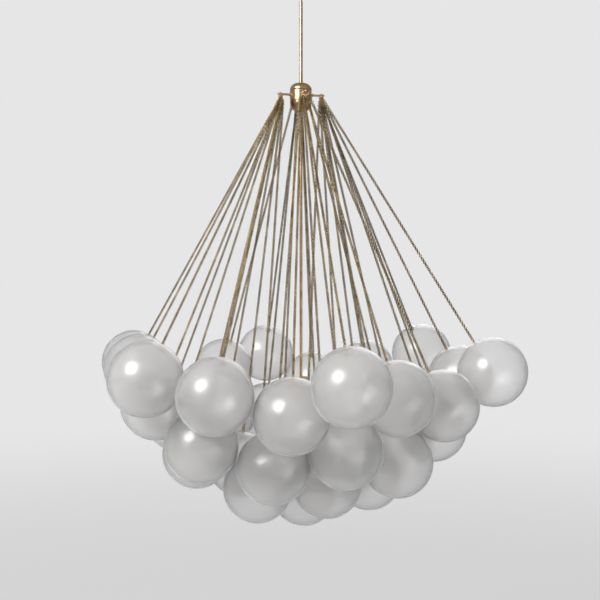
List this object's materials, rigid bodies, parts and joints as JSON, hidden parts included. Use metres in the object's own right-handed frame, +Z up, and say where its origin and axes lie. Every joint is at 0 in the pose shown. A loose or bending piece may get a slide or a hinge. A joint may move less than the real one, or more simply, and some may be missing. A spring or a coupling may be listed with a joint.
{
  "type": "chandelier",
  "caption": "Chandelier of frosted glass globes, each on its own brass chain, hung from a small brass hub on a stem with a ceiling canopy and a lamp cluster inside.",
  "frame": {"origin": "ceiling plane at the middle of the strap that carries the fitting, on the stem's axis", "axes": "+Z up into the ceiling, the stem's axis; +X to the viewer's right; the viewer stands on the -Y side"},
  "size_m": [0.9579, 0.9899, 1.2686],
  "materials": {
    "aged_brass": "satin, warm antique tone",
    "chain_brass": "antique, slightly darkened",
    "strap_steel": "plain zinc-plated",
    "frosted_glass": "frosted, grey-white, translucent",
    "bulb_glass": "frosted white"
  },
  "bodies": {
    "ceiling_fitting": {"ceiling_strap": "strap_steel", "canopy": "aged_brass", "canopy_collar": "aged_brass"},
    "swivel": {"swivel_socket": "aged_brass"},
    "stem_and_hub": {"upper_stem": "aged_brass", "hub_body": "aged_brass", "hub_top_cap": "aged_brass", "hub_bottom_cap": "aged_brass", "hub_arm_1": "aged_brass", "hub_arm_2": "aged_brass", "hub_arm_3": "aged_brass", "hub_arm_4": "aged_brass", "lower_stem": "aged_brass", "lamp_cluster": "aged_brass", "lamp_bulb_1": "bulb_glass", "lamp_bulb_2": "bulb_glass", "lamp_bulb_3": "bulb_glass"},
    "bundle_1": {"chain_bundle_1": "chain_brass"},
    "bundle_2": {"chain_bundle_2": "chain_brass"},
    "bundle_3": {"chain_bundle_3": "chain_brass"},
    "bundle_4": {"chain_bundle_4": "chain_brass"},
    "globe_01_body": {"globe_01": "frosted_glass"},
    "globe_02_body": {"globe_02": "frosted_glass"},
    "globe_03_body": {"globe_03": "frosted_glass"},
    "globe_04_body": {"globe_04": "frosted_glass"},
    "globe_05_body": {"globe_05": "frosted_glass"},
    "globe_06_body": {"globe_06": "frosted_glass"},
    "globe_07_body": {"globe_07": "frosted_glass"},
    "globe_08_body": {"globe_08": "frosted_glass"},
    "globe_09_body": {"globe_09": "frosted_glass"},
    "globe_10_body": {"globe_10": "frosted_glass"},
    "globe_11_body": {"globe_11": "frosted_glass"},
    "globe_12_body": {"globe_12": "frosted_glass"},
    "globe_13_body": {"globe_13": "frosted_glass"},
    "globe_14_body": {"globe_14": "frosted_glass"},
    "globe_15_body": {"globe_15": "frosted_glass"},
    "globe_16_body": {"globe_16": "frosted_glass"},
    "globe_17_body": {"globe_17": "frosted_glass"},
    "globe_18_body": {"globe_18": "frosted_glass"},
    "globe_19_body": {"globe_19": "frosted_glass"},
    "globe_20_body": {"globe_20": "frosted_glass"},
    "globe_21_body": {"globe_21": "frosted_glass"},
    "globe_22_body": {"globe_22": "frosted_glass"},
    "globe_23_body": {"globe_23": "frosted_glass"},
    "globe_24_body": {"globe_24": "frosted_glass"},
    "globe_25_body": {"globe_25": "frosted_glass"},
    "globe_26_body": {"globe_26": "frosted_glass"},
    "globe_27_body": {"globe_27": "frosted_glass"},
    "globe_28_body": {"globe_28": "frosted_glass"},
    "globe_29_body": {"globe_29": "frosted_glass"},
    "globe_30_body": {"globe_30": "frosted_glass"},
    "globe_31_body": {"globe_31": "frosted_glass"},
    "globe_32_body": {"globe_32": "frosted_glass"},
    "globe_33_body": {"globe_33": "frosted_glass"},
    "globe_34_body": {"globe_34": "frosted_glass"},
    "globe_35_body": {"globe_35": "frosted_glass"},
    "globe_36_body": {"globe_36": "frosted_glass"},
    "globe_37_body": {"globe_37": "frosted_glass"}
  },
  "joints": [
    {"name": "swivel_turn", "type": "hinge", "parent": "ceiling_fitting", "child": "swivel", "pos_m": [0, 0, -0.06815], "axis": [0, 0, 1], "range_deg": [-165, 165]},
    {"name": "stem_swing", "type": "hinge", "parent": "swivel", "child": "stem_and_hub", "pos_m": [0, 0, -0.06815], "axis": [0, 1, 0], "range_deg": [-15, 15]},
    {"name": "bundle_1_swing", "type": "hinge", "parent": "stem_and_hub", "child": "bundle_1", "pos_m": [0.00976, -0.04592, -0.2884], "axis": [-0.9781, -0.2079, 0], "range_deg": [0, 12]},
    {"name": "bundle_2_swing", "type": "hinge", "parent": "stem_and_hub", "child": "bundle_2", "pos_m": [0.04592, 0.00976, -0.2884], "axis": [0.2079, -0.9781, 0], "range_deg": [0, 12]},
    {"name": "bundle_3_swing", "type": "hinge", "parent": "stem_and_hub", "child": "bundle_3", "pos_m": [-0.00976, 0.04592, -0.2884], "axis": [0.9781, 0.2079, 0], "range_deg": [0, 12]},
    {"name": "bundle_4_swing", "type": "hinge", "parent": "stem_and_hub", "child": "bundle_4", "pos_m": [-0.04592, -0.00976, -0.2884], "axis": [-0.2079, 0.9781, 0], "range_deg": [0, 12]},
    {"name": "globe_01_spin", "type": "hinge", "parent": "bundle_1", "child": "globe_01_body", "pos_m": [0.09095, -0.42787, -0.903], "axis": [-0.1178, 0.5309, 0.8392], "continuous": true},
    {"name": "globe_02_spin", "type": "hinge", "parent": "bundle_2", "child": "globe_02_body", "pos_m": [0.41233, -0.10355, -0.90865], "axis": [-0.5066, 0.1487, 0.8493], "continuous": true},
    {"name": "globe_03_spin", "type": "hinge", "parent": "bundle_2", "child": "globe_03_body", "pos_m": [0.3093, 0.27849, -0.90009], "axis": [-0.3735, -0.3717, 0.8499], "continuous": true},
    {"name": "globe_04_spin", "type": "hinge", "parent": "bundle_3", "child": "globe_04_body", "pos_m": [-0.09553, 0.41381, -0.91172], "axis": [0.1218, -0.5119, 0.8504], "continuous": true},
    {"name": "globe_05_spin", "type": "hinge", "parent": "bundle_4", "child": "globe_05_body", "pos_m": [-0.39811, 0.10745, -0.90591], "axis": [0.4938, -0.1571, 0.8553], "continuous": true},
    {"name": "globe_06_spin", "type": "hinge", "parent": "bundle_4", "child": "globe_06_body", "pos_m": [-0.30206, -0.30036, -0.90232], "axis": [0.3594, 0.3981, 0.844], "continuous": true},
    {"name": "globe_07_spin", "type": "hinge", "parent": "bundle_1", "child": "globe_07_body", "pos_m": [0.1877, -0.29925, -0.93976], "axis": [-0.2459, 0.3579, 0.9008], "continuous": true},
    {"name": "globe_08_spin", "type": "hinge", "parent": "bundle_2", "child": "globe_08_body", "pos_m": [0.36824, 0.03771, -0.93666], "axis": [-0.4508, -0.0436, 0.8916], "continuous": true},
    {"name": "globe_09_spin", "type": "hinge", "parent": "bundle_2", "child": "globe_09_body", "pos_m": [0.17447, 0.39186, -0.94951], "axis": [-0.1698, -0.4917, 0.854], "continuous": true},
    {"name": "globe_10_spin", "type": "hinge", "parent": "bundle_3", "child": "globe_10_body", "pos_m": [-0.19685, 0.26177, -0.93731], "axis": [0.2584, -0.3101, 0.9149], "continuous": true},
    {"name": "globe_11_spin", "type": "hinge", "parent": "bundle_4", "child": "globe_11_body", "pos_m": [-0.36304, -0.03901, -0.90591], "axis": [0.4639, 0.0439, 0.8848], "continuous": true},
    {"name": "globe_12_spin", "type": "hinge", "parent": "bundle_4", "child": "globe_12_body", "pos_m": [-0.16281, -0.35102, -0.92916], "axis": [0.1629, 0.4619, 0.8719], "continuous": true},
    {"name": "globe_13_spin", "type": "hinge", "parent": "bundle_1", "child": "globe_13_body", "pos_m": [0.29459, -0.17838, -0.97119], "axis": [-0.3756, 0.1803, 0.9091], "continuous": true},
    {"name": "globe_14_spin", "type": "hinge", "parent": "bundle_2", "child": "globe_14_body", "pos_m": [0.32092, 0.16593, -0.99989], "axis": [-0.3591, -0.2015, 0.9113], "continuous": true},
    {"name": "globe_15_spin", "type": "hinge", "parent": "bundle_3", "child": "globe_15_body", "pos_m": [0.03072, 0.35115, -0.97857], "axis": [-0.0483, -0.4084, 0.9115], "continuous": true},
    {"name": "globe_16_spin", "type": "hinge", "parent": "bundle_4", "child": "globe_16_body", "pos_m": [-0.33004, 0.18971, -1.01886], "axis": [0.3538, -0.2418, 0.9035], "continuous": true},
    {"name": "globe_17_spin", "type": "hinge", "parent": "bundle_4", "child": "globe_17_body", "pos_m": [-0.30218, -0.16502, -0.96929], "axis": [0.3509, 0.2071, 0.9132], "continuous": true},
    {"name": "globe_18_spin", "type": "hinge", "parent": "bundle_1", "child": "globe_18_body", "pos_m": [-0.01827, -0.33617, -0.96874], "axis": [0.0314, 0.3961, 0.9177], "continuous": true},
    {"name": "globe_19_spin", "type": "hinge", "parent": "bundle_1", "child": "globe_19_body", "pos_m": [0.08844, -0.26691, -1.04933], "axis": [-0.0989, 0.2822, 0.9542], "continuous": true},
    {"name": "globe_20_spin", "type": "hinge", "parent": "bundle_2", "child": "globe_20_body", "pos_m": [0.29237, -0.04344, -1.03836], "axis": [-0.314, 0.0611, 0.9475], "continuous": true},
    {"name": "globe_21_spin", "type": "hinge", "parent": "bundle_2", "child": "globe_21_body", "pos_m": [0.18965, 0.23464, -1.04819], "axis": [-0.1823, -0.2776, 0.9432], "continuous": true},
    {"name": "globe_22_spin", "type": "hinge", "parent": "bundle_3", "child": "globe_22_body", "pos_m": [-0.08816, 0.26624, -1.05043], "axis": [0.094, -0.2814, 0.955], "continuous": true},
    {"name": "globe_23_spin", "type": "hinge", "parent": "bundle_4", "child": "globe_23_body", "pos_m": [-0.2829, 0.03571, -1.03044], "axis": [0.3074, -0.0545, 0.95], "continuous": true},
    {"name": "globe_24_spin", "type": "hinge", "parent": "bundle_4", "child": "globe_24_body", "pos_m": [-0.19913, -0.2486, -1.04052], "axis": [0.1946, 0.2954, 0.9353], "continuous": true},
    {"name": "globe_25_spin", "type": "hinge", "parent": "bundle_4", "child": "globe_25_body", "pos_m": [-0.18575, 0.15196, -1.03977], "axis": [0.1804, -0.204, 0.9622], "continuous": true},
    {"name": "globe_26_spin", "type": "hinge", "parent": "bundle_1", "child": "globe_26_body", "pos_m": [0.19949, -0.17275, -1.08783], "axis": [-0.225, 0.1559, 0.9618], "continuous": true},
    {"name": "globe_27_spin", "type": "hinge", "parent": "bundle_2", "child": "globe_27_body", "pos_m": [0.23704, 0.10545, -1.10939], "axis": [-0.2287, -0.1145, 0.9667], "continuous": true},
    {"name": "globe_28_spin", "type": "hinge", "parent": "bundle_3", "child": "globe_28_body", "pos_m": [0.04292, 0.29473, -1.11889], "axis": [-0.0541, -0.2878, 0.9562], "continuous": true},
    {"name": "globe_29_spin", "type": "hinge", "parent": "bundle_4", "child": "globe_29_body", "pos_m": [-0.22491, -0.09167, -1.08605], "axis": [0.2215, 0.1003, 0.97], "continuous": true},
    {"name": "globe_30_spin", "type": "hinge", "parent": "bundle_1", "child": "globe_30_body", "pos_m": [-0.05563, -0.23997, -1.08617], "axis": [0.0727, 0.2365, 0.9689], "continuous": true},
    {"name": "globe_31_spin", "type": "hinge", "parent": "bundle_1", "child": "globe_31_body", "pos_m": [0.05476, -0.12901, -1.14134], "axis": [-0.0546, 0.098, 0.9937], "continuous": true},
    {"name": "globe_32_spin", "type": "hinge", "parent": "bundle_2", "child": "globe_32_body", "pos_m": [0.15223, -0.01106, -1.15311], "axis": [-0.1225, 0.019, 0.9923], "continuous": true},
    {"name": "globe_33_spin", "type": "hinge", "parent": "bundle_2", "child": "globe_33_body", "pos_m": [0.10051, 0.14777, -1.17333], "axis": [-0.0625, -0.1524, 0.9863], "continuous": true},
    {"name": "globe_34_spin", "type": "hinge", "parent": "bundle_3", "child": "globe_34_body", "pos_m": [-0.04876, 0.16748, -1.17039], "axis": [0.0425, -0.1388, 0.9894], "continuous": true},
    {"name": "globe_35_spin", "type": "hinge", "parent": "bundle_4", "child": "globe_35_body", "pos_m": [-0.14177, 0.04252, -1.13342], "axis": [0.1136, -0.0596, 0.9917], "continuous": true},
    {"name": "globe_36_spin", "type": "hinge", "parent": "bundle_4", "child": "globe_36_body", "pos_m": [-0.09347, -0.09781, -1.1593], "axis": [0.0556, 0.0993, 0.9935], "continuous": true},
    {"name": "globe_37_spin", "type": "hinge", "parent": "bundle_2", "child": "globe_37_body", "pos_m": [0.00713, 0.01056, -1.19366], "axis": [0.0438, -0.0027, 0.999], "continuous": true}
  ]
}
